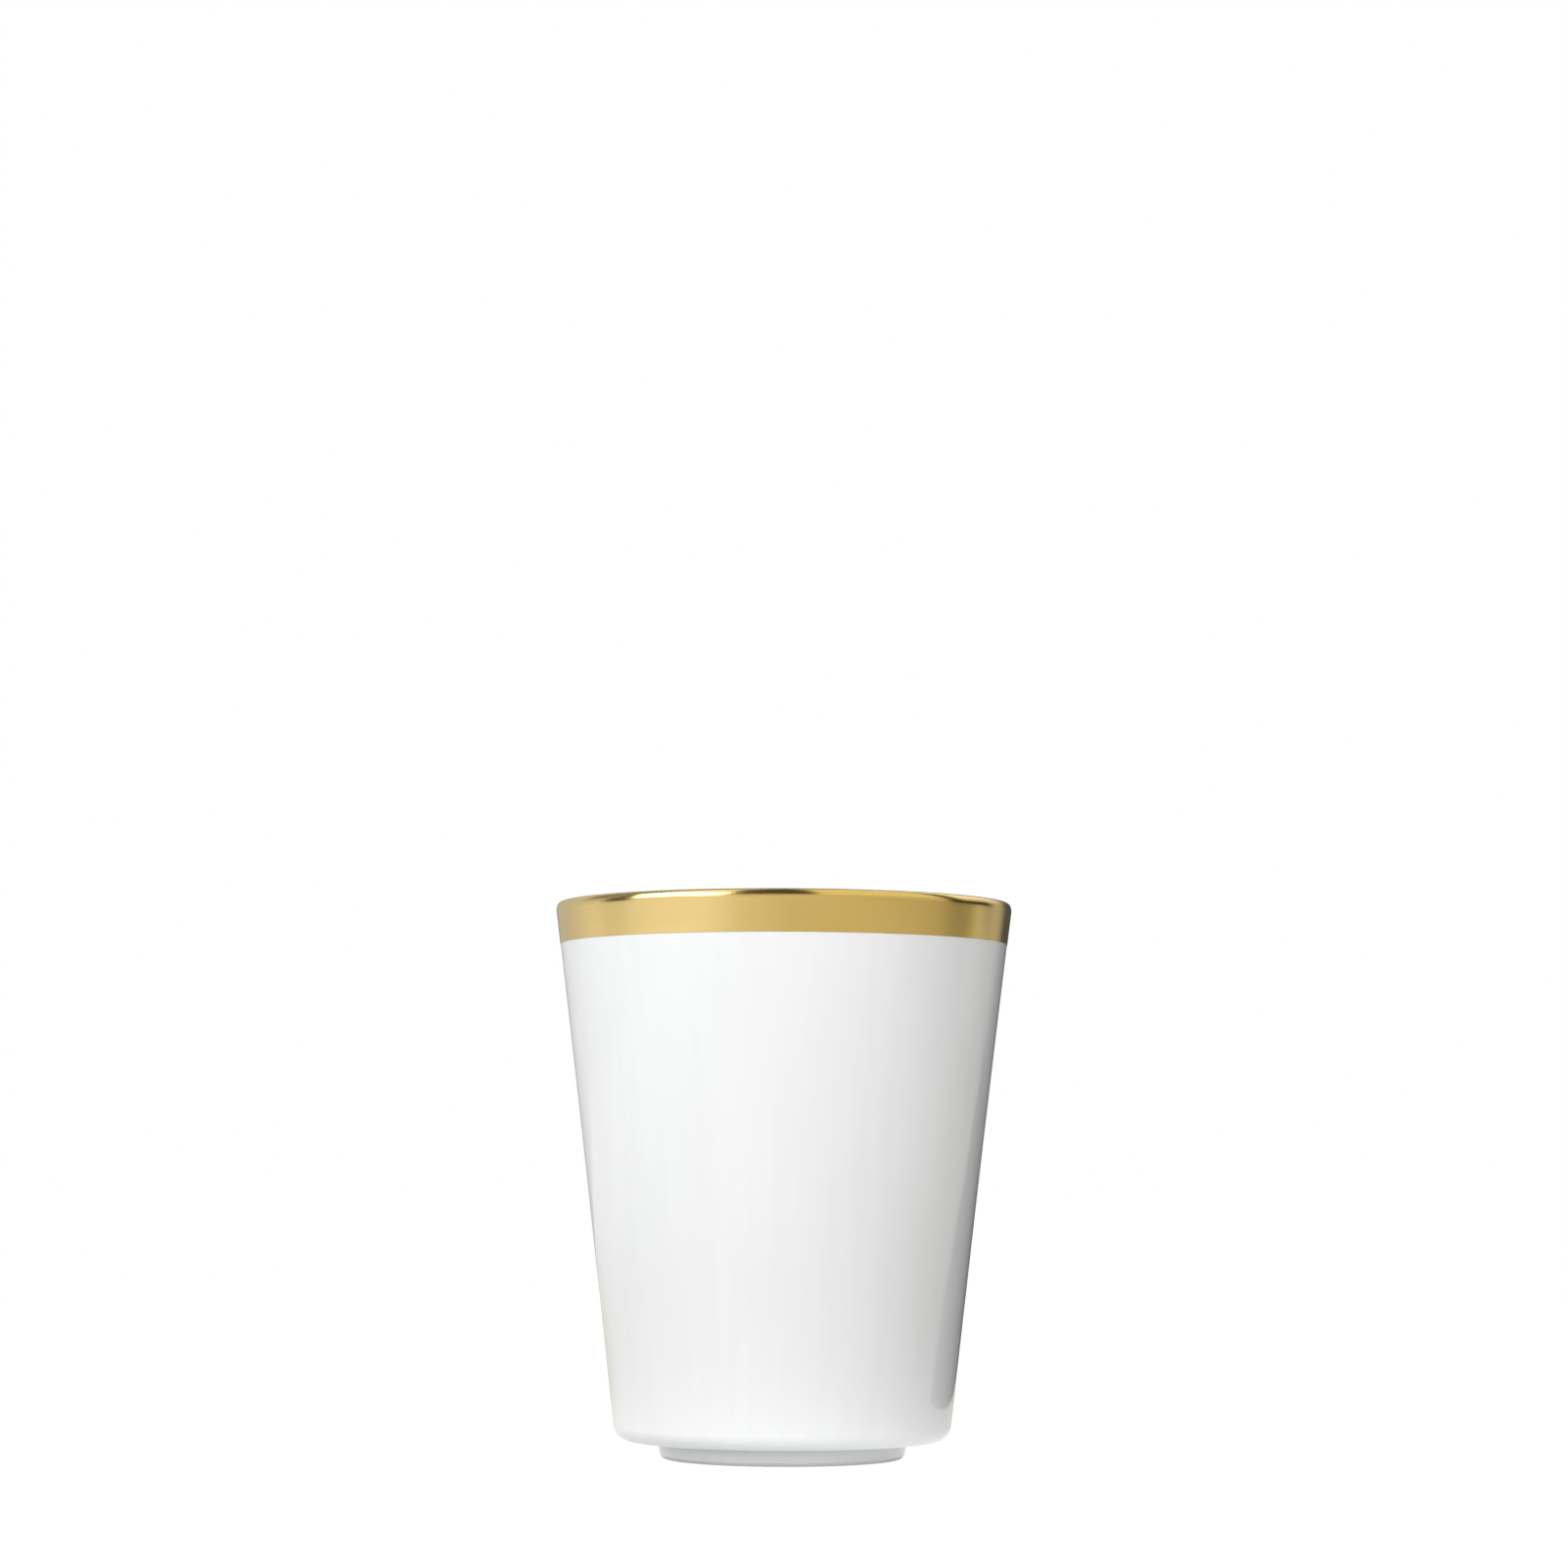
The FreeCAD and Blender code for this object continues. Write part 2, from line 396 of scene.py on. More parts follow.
here = start_section("recess_glaze_coat", spot(0, BASE_LEVEL - GLAZE))
here = swing(here, "inner_cove", GLAZE)
here = line_to(here, begin_of("inner_edge", GLAZE))
recess_glaze = turn_section(hollow=True)
thicken(recess_glaze, GLAZE)
finish_piece(recess_glaze, "recess_glaze")

# %% [markdown]
# ## The gold
#
# The gilder paints liquid gold over the fired glaze while the vase turns slowly on a wheel:
# first a line over the lip and a little way down both sides, then the broad band under it.
# A last, cooler firing leaves a metal film. It is drawn on the outline grown by both coats.

# %% Turn the gold line and the gold band
GILDED = GLAZE + GOLD
inside_depth = GLAZE + WALL_THICKNESS + GILDED
here = start_section("gold_lip_film", in_wall(-GOLD, GOLD_LINE_LEVEL))
here = line_to(here, begin_of("outer_shoulder", GILDED))
here = swing(here, "outer_shoulder", GILDED)
here = swing(here, "crown", GILDED)
here = swing(here, "inner_shoulder", GILDED)
here = line_to(here, in_wall(inside_depth, GOLD_LINE_LEVEL))
gold_lip = turn_section()
thicken(gold_lip, GOLD)
finish_piece(gold_lip, "gold_lip")

here = start_section("gold_band_film", in_wall(-GOLD, GOLD_BAND_LEVEL))
here = wall_to(here, in_wall(-GOLD, GOLD_LINE_LEVEL), -GOLD)
gold_band = turn_section()
thicken(gold_band, GOLD)
finish_piece(gold_band, "gold_band")

# %% [markdown]
# ## Finishes, and the nodes that they share
#
# No two square centimetres of a real vase are quite the same: glaze is a little thicker here
# and thinner there, a gilder's brush leaves lines, and a foot picks up marks from shelves. In
# Blender each of these is a pattern made by nodes from the Object coordinates, which are metres
# on the vase itself, so that the sizes below are real ones. Patterns that several finishes need
# are node groups. A group is built once, and each material places it with its own values.

# %% Helpers for nodes
def add_node(tree, kind, values=None, **settings):
    """A new node with some of its input sockets and settings filled in."""
    node = tree.nodes.new(kind)
    for name, value in settings.items():
        setattr(node, name, value)
    for name, value in (values or {}).items():
        node.inputs[name].default_value = value
    return node


def join(tree, *steps):
    """Link steps in pairs: an output socket, then the input socket that it feeds."""
    for source, target in zip(steps[::2], steps[1::2]):
        tree.links.new(source, target)


def new_group(name, inputs, output):
    """An empty shader node group with named number sockets, or vectors where they are given."""
    group = bpy.data.node_groups.new(name, "ShaderNodeTree")
    for socket, value in inputs.items():
        kind = "NodeSocketVector" if isinstance(value, tuple) else "NodeSocketFloat"
        made = group.interface.new_socket(socket, in_out="INPUT", socket_type=kind)
        made.default_value = value
    group.interface.new_socket(output, in_out="OUTPUT", socket_type="NodeSocketFloat")
    return group, add_node(group, "NodeGroupInput"), add_node(group, "NodeGroupOutput")


# %% [markdown]
# ### Drawn grain
#
# Noise that is squeezed along one axis looks as if it had been drawn out along the others.
# Squeezed upwards it gives the lines of a brush or of a turning tool. Left long upwards, it
# gives the faint runs of a glaze that drained down the wall. Low and High choose how much of
# the noise shows.

# %% Group: drawn grain
def make_drawn_grain():
    group, given, result = new_group(
        "drawn_grain", {"Stretch": (10.0, 10.0, 10.0), "Low": 0.3, "High": 0.7}, "Grain")
    place = add_node(group, "ShaderNodeTexCoord")
    squeeze = add_node(group, "ShaderNodeVectorMath", operation="MULTIPLY")
    noise = add_node(group, "ShaderNodeTexNoise", {"Scale": 1.0, "Detail": 3.0})
    spread = add_node(group, "ShaderNodeMapRange", interpolation_type="SMOOTHSTEP")
    join(group,
         place.outputs["Object"], squeeze.inputs[0],
         given.outputs["Stretch"], squeeze.inputs[1],
         squeeze.outputs["Vector"], noise.inputs["Vector"],
         noise.outputs["Fac"], spread.inputs["Value"],
         given.outputs["Low"], spread.inputs["From Min"],
         given.outputs["High"], spread.inputs["From Max"],
         spread.outputs["Result"], result.inputs["Grain"])
    return group


DRAWN_GRAIN = make_drawn_grain()
print("group:", DRAWN_GRAIN.name)

# %% [markdown]
# ### A ring at a level
#
# Much of what happens to a vase happens at one height: glaze gathers above its lower edge,
# gold wears on the crown of the lip, and the foot is rubbed on its face. This group is 1 at
# a level and fades to 0 over a reach. Wander lets the ring stray up and down a little.

# %% Group: ring at a level
def make_ring():
    group, given, result = new_group(
        "ring_at_level", {"Level": 0.0, "Reach": 0.001, "Wander": 0.0}, "Mask")
    place = add_node(group, "ShaderNodeTexCoord")
    split = add_node(group, "ShaderNodeSeparateXYZ")
    noise = add_node(group, "ShaderNodeTexNoise", {"Scale": 90.0, "Detail": 2.0})
    centred = add_node(group, "ShaderNodeMath", {1: 0.5}, operation="SUBTRACT")
    strayed = add_node(group, "ShaderNodeMath", operation="MULTIPLY_ADD")
    away = add_node(group, "ShaderNodeMath", operation="SUBTRACT")
    distance = add_node(group, "ShaderNodeMath", operation="ABSOLUTE")
    fade = add_node(group, "ShaderNodeMapRange", {"To Min": 1.0, "To Max": 0.0},
                    interpolation_type="SMOOTHSTEP")
    join(group,
         place.outputs["Object"], split.inputs["Vector"],
         place.outputs["Object"], noise.inputs["Vector"],
         noise.outputs["Fac"], centred.inputs[0],
         centred.outputs["Value"], strayed.inputs[0],
         given.outputs["Wander"], strayed.inputs[1],
         split.outputs["Z"], strayed.inputs[2],
         strayed.outputs["Value"], away.inputs[0],
         given.outputs["Level"], away.inputs[1],
         away.outputs["Value"], distance.inputs[0],
         distance.outputs["Value"], fade.inputs["Value"],
         given.outputs["Reach"], fade.inputs["From Max"],
         fade.outputs["Result"], result.inputs["Mask"])
    return group


RING = make_ring()
print("group:", RING.name)

# %% [markdown]
# ### Specks
#
# Clay always holds a few dark grains, and they show through a clear glaze as pinpricks. A
# Voronoi texture scatters points, Size makes each a round dot, and its own random colour
# decides whether the dot shows at all.

# %% Group: specks
def make_specks():
    group, given, result = new_group(
        "specks", {"Density": 100.0, "Size": 0.1, "Rarity": 0.9}, "Mask")
    place = add_node(group, "ShaderNodeTexCoord")
    cells = add_node(group, "ShaderNodeTexVoronoi")
    dot = add_node(group, "ShaderNodeMath", operation="LESS_THAN")
    random = add_node(group, "ShaderNodeSeparateColor")
    chosen = add_node(group, "ShaderNodeMath", operation="GREATER_THAN")
    both = add_node(group, "ShaderNodeMath", operation="MULTIPLY")
    join(group,
         place.outputs["Object"], cells.inputs["Vector"],
         given.outputs["Density"], cells.inputs["Scale"],
         cells.outputs["Distance"], dot.inputs[0],
         given.outputs["Size"], dot.inputs[1],
         cells.outputs["Color"], random.inputs["Color"],
         random.outputs["Red"], chosen.inputs[0],
         given.outputs["Rarity"], chosen.inputs[1],
         dot.outputs["Value"], both.inputs[0],
         chosen.outputs["Value"], both.inputs[1],
         both.outputs["Value"], result.inputs["Mask"])
    return group


SPECKS = make_specks()
print("group:", SPECKS.name)

# %% Place a group, spread a mask
def place_group(tree, group, **values):
    """Place a group with its own values, and give back its one output."""
    node = add_node(tree, "ShaderNodeGroup", node_tree=group)
    for name, value in values.items():
        node.inputs[name].default_value = value
    return node.outputs[0]


def scaled(tree, mask, low, high):
    """The mask, spread so that 0 becomes low and 1 becomes high."""
    spread = add_node(tree, "ShaderNodeMapRange", {"To Min": low, "To Max": high})
    join(tree, mask, spread.inputs["Value"])
    return spread.outputs["Result"]


def total(tree, first, second):
    added = add_node(tree, "ShaderNodeMath", operation="ADD")
    join(tree, first, added.inputs[0], second, added.inputs[1])
    return added.outputs["Value"]


def product(tree, first, second):
    times = add_node(tree, "ShaderNodeMath", operation="MULTIPLY")
    join(tree, first, times.inputs[0], second, times.inputs[1])
    return times.outputs["Value"]


# %% Mix colours, make a ramp
WHITE = (1, 1, 1)
WARM_GREEN, WARM_BLUE = 0.07, 0.35   # how much of each a full warmth takes away


def mixed(tree, first, second, amount, blend_type="MIX"):
    """Mix two colours by an amount. Each of the three is a socket or a plain value."""
    mix = add_node(tree, "ShaderNodeMix", data_type="RGBA", blend_type=blend_type)
    for place, given in (("Factor", amount), (6, first), (7, second)):
        if isinstance(given, bpy.types.NodeSocket):
            join(tree, given, mix.inputs[place])
        else:
            mix.inputs[place].default_value = given if place == "Factor" else (*given, 1)
    return mix.outputs[2]


def brightness_ramp(tree, stops, low, high):
    """A ramp of greys, made from a place, a brightness and perhaps a warmth for each stop."""
    ramp = add_node(tree, "ShaderNodeValToRGB")
    points = ramp.color_ramp.elements
    while len(points) < len(stops):
        points.new(0.5)
    for point, (place, *_) in zip(points, stops):
        point.position = (place - low) / (high - low)
    for point, (_, grey, *warmth) in zip(points, stops):
        warm = warmth[0] if warmth else 0
        point.color = (grey, grey * (1 - WARM_GREEN * warm), grey * (1 - WARM_BLUE * warm), 1)
    return ramp


# %% Start a finish, give it bumps, put it on
def new_finish(name):
    """A material and its Principled BSDF."""
    material = bpy.data.materials.new(name)
    material.use_nodes = True
    return material.node_tree, material.node_tree.nodes["Principled BSDF"]


def bumped(tree, height, depth, strength, under=None):
    """Turn a height between 0 and 1 into a bump of a real depth, over an earlier bump."""
    bump = add_node(tree, "ShaderNodeBump", {"Distance": depth, "Strength": strength})
    join(tree, height, bump.inputs["Height"])
    if under:
        join(tree, under, bump.inputs["Normal"])
    return bump.outputs["Normal"]


def wear(piece, name):
    """Give a piece its finish in place of any that it has."""
    piece.data.materials.clear()
    piece.data.materials.append(bpy.data.materials[name])
    print(f"{piece.name} is finished in {name}")


# %% [markdown]
# ## Glazed porcelain
#
# Clear glaze over white porcelain reads as one surface: a bright, faintly cool white under
# a hard, wet-looking gloss. It isn't perfect. The white is mottled by a percent or two, the
# glaze drained in long faint runs before it was fired, it pools where the wall turns under and
# above the foot, where it looks a touch greener, and a few specks of iron show. The same
# patterns change its roughness a little and make its reflections waver.

# %% Finish: glazed porcelain
tree, surface = new_finish("glazed_porcelain")
surface.inputs["IOR"].default_value = 1.52
mottle = place_group(tree, DRAWN_GRAIN, Stretch=(26, 26, 16), Low=0.35, High=0.65)
runs = place_group(tree, DRAWN_GRAIN, Stretch=(210, 210, 5), Low=0.38, High=0.68)
ripple = place_group(tree, DRAWN_GRAIN, Stretch=(75, 75, 55), Low=0.25, High=0.75)
pool = place_group(tree, RING, Level=BASE_LEVEL, Reach=3.2 * MM, Wander=0.8 * MM)
iron = place_group(tree, SPECKS, Density=62, Size=0.02, Rarity=0.965)
colour = mixed(tree, (0.905, 0.91, 0.913), (0.885, 0.893, 0.893), mottle)
colour = mixed(tree, colour, (0.868, 0.873, 0.872), scaled(tree, runs, 0, 0.55))
colour = mixed(tree, colour, (0.80, 0.845, 0.835), scaled(tree, pool, 0, 0.5))
colour = mixed(tree, colour, (0.30, 0.22, 0.15), scaled(tree, iron, 0, 0.7))
gloss = total(tree, scaled(tree, mottle, 0.05, 0.075), scaled(tree, runs, 0, 0.03))
normal = bumped(tree, ripple, 0.05 * MM, 0.3)
normal = bumped(tree, runs, 0.02 * MM, 0.3, under=normal)
join(tree, colour, surface.inputs["Base Color"], gloss, surface.inputs["Roughness"],
     normal, surface.inputs["Normal"])
for piece in (outer_glaze, inner_glaze, recess_glaze):
    wear(piece, "glazed_porcelain")

# %% [markdown]
# ## Bare porcelain
#
# Where no glaze lies, fired porcelain is matt, a warmer white, and feels like fine stone. The
# foot's face shows rings from trimming, a fine grain, and a grey rub where it meets the table.

# %% Finish: bare porcelain
tree, surface = new_finish("bare_porcelain")
grain = place_group(tree, DRAWN_GRAIN, Stretch=(2400, 2400, 2400), Low=0.3, High=0.7)
rings = place_group(tree, DRAWN_GRAIN, Stretch=(30, 30, 2600), Low=0.35, High=0.65)
patches = place_group(tree, DRAWN_GRAIN, Stretch=(140, 140, 140), Low=0.4, High=0.7)
rub = place_group(tree, RING, Level=0.0, Reach=0.5 * MM, Wander=0.3 * MM)
grit = place_group(tree, SPECKS, Density=420, Size=0.12, Rarity=0.86)
colour = mixed(tree, (0.90, 0.895, 0.88), (0.84, 0.83, 0.81), scaled(tree, grain, 0, 0.6))
colour = mixed(tree, colour, (0.78, 0.765, 0.74), scaled(tree, rings, 0, 0.4))
colour = mixed(tree, colour, (0.62, 0.61, 0.59),
                scaled(tree, product(tree, rub, patches), 0, 0.5))
colour = mixed(tree, colour, (0.34, 0.27, 0.2), scaled(tree, grit, 0, 0.6))
matt = total(tree, scaled(tree, grain, 0.74, 0.9), scaled(tree, rub, 0, -0.18))
normal = bumped(tree, rings, 0.05 * MM, 0.5)
normal = bumped(tree, grain, 0.03 * MM, 0.6, under=normal)
join(tree, colour, surface.inputs["Base Color"], matt, surface.inputs["Roughness"],
     normal, surface.inputs["Normal"])
for piece in (body, foot):
    wear(piece, "bare_porcelain")

# %% [markdown]
# ## Fired gold
#
# Liquid gold fires to a thin film of real metal that takes its gloss from the glaze under it.
# The brush leaves fine lines round the vase and a denser bead along the lower edge. Years of
# handling and rinsing rub the crown of the lip paler and duller than the rest.

# %% Finish: fired gold
tree, surface = new_finish("fired_gold")
surface.inputs["Metallic"].default_value = 1.0
mottle = place_group(tree, DRAWN_GRAIN, Stretch=(45, 45, 45), Low=0.3, High=0.7)
brush = place_group(tree, DRAWN_GRAIN, Stretch=(16, 16, 1100), Low=0.3, High=0.7)
fine = place_group(tree, DRAWN_GRAIN, Stretch=(900, 900, 2400), Low=0.3, High=0.7)
bead = place_group(tree, RING, Level=GOLD_BAND_LEVEL, Reach=0.5 * MM, Wander=0.3 * MM)
crown = place_group(tree, RING, Level=HEIGHT, Reach=0.9 * MM, Wander=0.8 * MM)
worn = product(tree, crown, scaled(tree, fine, 0.3, 1))
colour = mixed(tree, (0.95, 0.72, 0.31), (0.93, 0.69, 0.275), mottle)
colour = mixed(tree, colour, (0.90, 0.64, 0.22), scaled(tree, brush, 0, 0.15))
colour = mixed(tree, colour, (0.84, 0.58, 0.19), scaled(tree, bead, 0, 0.35))
colour = mixed(tree, colour, (0.93, 0.76, 0.42), scaled(tree, worn, 0, 0.25))
gloss = total(tree, scaled(tree, mottle, 0.12, 0.16), scaled(tree, brush, 0, 0.02))
gloss = total(tree, gloss, scaled(tree, worn, 0, 0.06))
normal = bumped(tree, mottle, 0.04 * MM, 0.25)
normal = bumped(tree, brush, 0.006 * MM, 0.08, under=normal)
join(tree, colour, surface.inputs["Base Color"], gloss, surface.inputs["Roughness"],
     normal, surface.inputs["Normal"])
for piece in (gold_lip, gold_band):
    wear(piece, "fired_gold")

# %% [markdown]
# ## The table
#
# The vase stands on a pale, matt sheet that glows, as a light table does. Such a sheet looks
# plain white, swallows nearly all of the shadow, and lights the vase from underneath. Its glow
# is painted light and shade: it is dim under the vase's footprint, a painted shadow of the
# vase, and brightest in a ring right round the foot, a painted pool of light. Mirrored in gold,
# its left side is the brighter one, and its right side is a little warmer. Light Path keeps
# these apart: the camera, reflections and soft light each see a brightness of their own. From
# below the sheet is clear, so that the vase's underside can be looked at through it.

# %% Lay the table
TABLE_SIZE = 2.4
deselect_all()
bpy.ops.mesh.primitive_plane_add(size=TABLE_SIZE, location=(0, 0, 0))
table = bpy.context.object
table.name = table.data.name = "table"
print(f"the table is {TABLE_SIZE:.1f} m square")

# %% [markdown]
# TABLE_MIRRORED and TABLE_LIGHT go by the place from left to right in metres, and the glow ramp
# by the distance from the vase's axis. Its low start under the foot is a painted shadow of the
# vase, and its peak just round the foot is a painted pool of light. Reflections close to the
# foot see the sheet as plain white.

# %% Choose the sheet's brightnesses
TABLE_EDGE = TABLE_SIZE / 2
TABLE_MIRRORED = [(-1.2, 0.70), (-1.0, 0.82), (-0.73, 0.88), (-0.48, 0.80), (-0.38, 0.70),
                  (-0.27, 0.65, 0.5), (0.07, 0.55, 1), (0.66, 0.55, 1), (0.92, 0.48, 1),
                  (1.2, 0.37, 1)]
TABLE_LIGHT = [(-1.2, 0.85), (-0.2, 0.8), (-0.05, 0.6), (0, 0.75), (0.05, 1.0), (0.2, 1.0),
               (1.2, 0.7)]
# Painted shade and light: low inside the foot, where the vase's shadow falls, and highest in a
# ring just round the foot.
GLOW_AND_PAINTED_SHADOW = [(0, 0.40), (0.034, 0.40), (0.040, 0.60), (0.045, 1.0), (0.055, 1.0), (0.066, 0.5),
        (0.08, 0.30), (0.11, 0.30), (0.16, 0.38), (0.25, 0.45)]
GLOW_REACH = 0.25
print("brightest glow under the vase:", max(grey for _, grey in GLOW_AND_PAINTED_SHADOW))


# %% Finish: lit sheet
def sheet_brightness(tree):
    """What the sheet gives to soft light, and what reflections see of it."""
    place = add_node(tree, "ShaderNodeTexCoord")
    split = add_node(tree, "ShaderNodeSeparateXYZ")
    across = add_node(tree, "ShaderNodeMapRange",
                      {"From Min": -TABLE_EDGE, "From Max": TABLE_EDGE})
    reach = add_node(tree, "ShaderNodeVectorMath", operation="LENGTH")
    near = add_node(tree, "ShaderNodeMapRange", {"From Max": GLOW_REACH})
    mirrored = brightness_ramp(tree, TABLE_MIRRORED, -TABLE_EDGE, TABLE_EDGE)
    lit = brightness_ramp(tree, TABLE_LIGHT, -TABLE_EDGE, TABLE_EDGE)
    glow = brightness_ramp(tree, GLOW_AND_PAINTED_SHADOW, 0, GLOW_REACH)
    join(tree,
         place.outputs["Object"], split.inputs["Vector"],
         split.outputs["X"], across.inputs["Value"],
         across.outputs["Result"], mirrored.inputs["Fac"],
         across.outputs["Result"], lit.inputs["Fac"],
         place.outputs["Object"], reach.inputs[0],
         reach.outputs["Value"], near.inputs["Value"],
         near.outputs["Result"], glow.inputs["Fac"])
    # Soft light sees the sheet's light times the glow, with its painted shadow and painted pool
    # of light round the foot.
    soft = mixed(tree, lit.outputs["Color"], glow.outputs["Color"], 1.0, "MULTIPLY")
    return soft, mixed(tree, WHITE, mirrored.outputs["Color"], near.outputs["Result"])


tree, surface = new_finish("lit_sheet")
surface.inputs["Base Color"].default_value = (0.05, 0.05, 0.05, 1)
surface.inputs["Roughness"].default_value = 1.0
surface.inputs["Specular IOR Level"].default_value = 0.0
surface.inputs["Emission Strength"].default_value = 1.0
path = add_node(tree, "ShaderNodeLightPath")
sides = add_node(tree, "ShaderNodeNewGeometry")
clear = add_node(tree, "ShaderNodeBsdfTransparent")
one_sided = add_node(tree, "ShaderNodeMixShader")
soft, mirrored = sheet_brightness(tree)
unseen = mixed(tree, soft, mirrored, path.outputs["Is Glossy Ray"])
seen = mixed(tree, unseen, WHITE, path.outputs["Is Camera Ray"])
join(tree,
     seen, surface.inputs["Emission Color"],
     sides.outputs["Backfacing"], one_sided.inputs["Fac"],
     surface.outputs["BSDF"], one_sided.inputs[1],
     clear.outputs["BSDF"], one_sided.inputs[2],
     one_sided.outputs["Shader"], tree.nodes["Material Output"].inputs["Surface"])
wear(table, "lit_sheet")

# %% [markdown]
# ## The dark sheet: a painted shadow
#
# A white vase on white would lose its right edge. A black sheet lies on the table behind it to
# the right, outside what the camera sees directly, and the glaze and the gold mirror it as a
# dark line just inside the edge. Close to the vase it is cut to the shape of the vase's own
# shadow on the table, so there it is a painted shadow. Further out it stands for something dark
# behind the vase to the right. Only reflections see this sheet.

# %% Cut the painted shadow
# Near the foot these corners follow the vase's own shadow on the table, so the black sheet is a
# painted shadow there.
SHADOW_SHEET_CORNERS = ((0.107, 0.056), (0.109, 0.037), (0.113, 0.026), (0.118, 0.019),
                (0.128, 0.020), (0.142, 0.028), (0.174, 0.047), (0.261, 0.107),
                (0.364, 0.189), (0.494, 0.337), (0.669, 0.578), (0.904, 0.872),
                (1.294, 1.461), (1.98, 2.45), (0.107, 2.45))
SHADOW_SHEET_LEVEL = 0.3 * MM
corners = [Vector((x, y, SHADOW_SHEET_LEVEL)) for x, y in SHADOW_SHEET_CORNERS]
here = start_section("painted_shadow_sheet", corners[0])
for corner in corners[1:] + corners[:1]:
    here = line_to(here, corner)
bpy.ops.mesh.select_all(action="SELECT")
bpy.ops.mesh.remove_doubles(threshold=MERGE_REACH)
bpy.ops.mesh.edge_face_add()
bpy.ops.object.mode_set(mode="OBJECT")
painted_shadow_sheet = bpy.context.object
painted_shadow_sheet.visible_camera = painted_shadow_sheet.visible_diffuse = painted_shadow_sheet.visible_shadow = False
tree, surface = new_finish("black_painted_shadow")
surface.inputs["Base Color"].default_value = (0.01, 0.01, 0.01, 1)
surface.inputs["Specular IOR Level"].default_value = 0.0
wear(painted_shadow_sheet, "black_painted_shadow")

# %% [markdown]
# ## The studio
#
# Gold and glaze are mirrors, so they need a room to look at. The world is that room, told as
# brightness by compass direction: 0 degrees is towards the camera, 90 is to the right. It has
# three tiers. Low down it is bright in front and on the left, warmer and dimmer to the right,
# and almost black behind. Standing above that are pale screens with dark gaps between them,
# and overhead are two soft panels, again with a gap. The camera itself sees plain white, and
# matt surfaces are lit by an even softer room, which is the ramp called FILL.

# %% Choose the room's brightnesses
LOW = [(-180, 0.10), (-172, 0.30), (-160, 0.45), (-133, 0.65), (-116, 0.80), (-90, 0.74),
       (-70, 0.87), (-52, 0.93), (-35, 0.86), (-19, 0.70, 1), (45, 0.60, 1), (62, 0.53, 1),
       (82, 0.42, 1), (92, 0.32, 1), (103, 0.34, 1), (109, 0.48, 1), (115, 0.85, 0.5),
       (125, 0.85, 0.5), (134, 0.40, 0.5), (142, 0.32, 0.5), (147, 0.07), (180, 0.07)]
STANDING = [(-180, 0.2), (-160, 0.5), (-106, 0.65), (-98, 0.10), (-86, 0.08), (-80, 0.80),
            (-30, 0.85), (-22, 0.62, 1), (25, 0.6, 1), (88, 0.55, 1), (94, 0.05, 1),
            (125, 0.05, 1), (133, 0.5, 0.5), (142, 0.4, 0.5), (150, 0.08), (180, 0.08)]
OVERHEAD = [(-180, 0.03), (-165, 0.03), (-158, 0.6), (-130, 0.6), (-118, 0.15), (-98, 0.30),
            (-90, 0.08), (-83, 0.10), (-78, 1.0), (-33, 1.0), (-28, 0.03, 1), (14, 0.03, 1),
            (20, 0.8, 1), (88, 0.8, 1), (93, 0.05, 1), (100, 0.05, 1), (106, 1.0),
            (150, 1.0), (157, 0.03), (180, 0.03)]
FILL = [(-180, 0.35), (-120, 0.64), (-75, 0.22), (-40, 0.54), (-10, 0.97), (20, 0.58),
        (50, 0.08), (85, 0.03), (120, 0.07), (180, 0.35)]
FILL_STRENGTH = 3.1
STANDING_STARTS = (-0.10, 0.0)   # upward part of a direction, from -1 to 1
OVERHEAD_STARTS = (0.15, 0.45)
print("the room has", len(LOW + STANDING + OVERHEAD), "brightnesses")

# %% Start the world
world = bpy.data.worlds.new("studio")
bpy.context.scene.world = world
world.use_nodes = True
tree = world.node_tree
room = tree.nodes["Background"]
fill = add_node(tree, "ShaderNodeBackground", {"Strength": FILL_STRENGTH})
white = add_node(tree, "ShaderNodeBackground", {"Color": (1, 1, 1, 1)})
print("world:", world.name)


# %% Find the compass direction, and how high a direction points
def look_around(tree):
    """The compass direction, from 0 at -180 degrees to 1 at 180, and the upward part."""
    direction = add_node(tree, "ShaderNodeTexCoord")
    split = add_node(tree, "ShaderNodeSeparateXYZ")
    forward = add_node(tree, "ShaderNodeMath", {1: -1.0}, operation="MULTIPLY")
    compass = add_node(tree, "ShaderNodeMath", operation="ARCTAN2")
    turned = add_node(tree, "ShaderNodeMath", {1: 1 / math.tau, 2: 0.5},
                      operation="MULTIPLY_ADD")
    join(tree,
         direction.outputs["Generated"], split.inputs["Vector"],
         split.outputs["Y"], forward.inputs[0],
         split.outputs["X"], compass.inputs[0],
         forward.outputs["Value"], compass.inputs[1],
         compass.outputs["Value"], turned.inputs[0])
    return turned.outputs["Value"], split.outputs["Z"]


turned, upward = look_around(tree)


def tier(stops):
    """The colour that one ramp gives for the compass direction."""
    ramp = brightness_ramp(tree, stops, -180, 180)
    join(tree, turned, ramp.inputs["Fac"])
    return ramp.outputs["Color"]


def rising(start, end):
    """A mask that goes from 0 to 1 as a direction rises between two heights."""
    spread = add_node(tree, "ShaderNodeMapRange", {"From Min": start, "From Max": end})
    join(tree, upward, spread.inputs["Value"])
    return spread.outputs["Result"]


